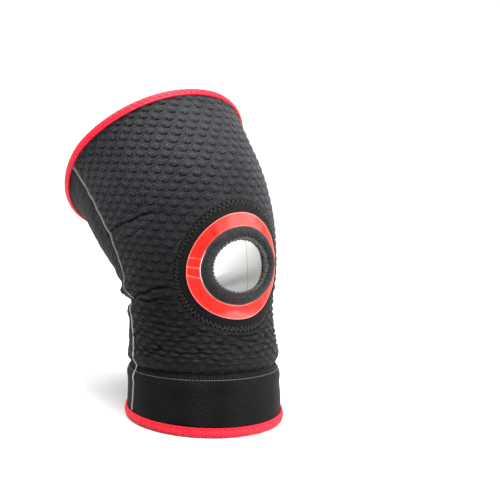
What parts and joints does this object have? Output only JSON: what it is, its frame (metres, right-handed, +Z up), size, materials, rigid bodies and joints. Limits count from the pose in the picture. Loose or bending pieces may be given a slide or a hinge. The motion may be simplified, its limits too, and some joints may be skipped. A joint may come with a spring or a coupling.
{
  "type": "knee sleeve",
  "caption": "Bent foam cloth tube open at both ends, with taped hems, a plain calf cuff and a padded oval hole over the kneecap.",
  "frame": {"origin": "middle of the part's box at its lowest face, on the surface that the calf hem stands on", "axes": "+Z up, -Y out of the kneecap hole, +Y back over the calf as the thigh leans, X across the leg"},
  "size_m": [0.1556, 0.2268, 0.2528],
  "materials": {
    "embossed_cloth": "black knit over foam, embossed with small lens-shaped bumps, and a pale lining",
    "plain_cloth": "black brushed knit over foam, matt, and a pale lining",
    "pad_cloth": "black stretched mesh knit over a stuffed roll",
    "red_tape": "red woven elastic tape, zigzag stitched",
    "red_film": "red bonded film, glossy"
  },
  "bodies": {
    "root": {"front_panel": "embossed_cloth", "back_panel": "plain_cloth", "cuff_front": "plain_cloth", "cuff_back": "plain_cloth", "kneecap_patch": "plain_cloth", "kneecap_film": "red_film", "kneecap_pad": "pad_cloth", "calf_binding": "red_tape", "thigh_binding": "red_tape"}
  },
  "joints": []
}
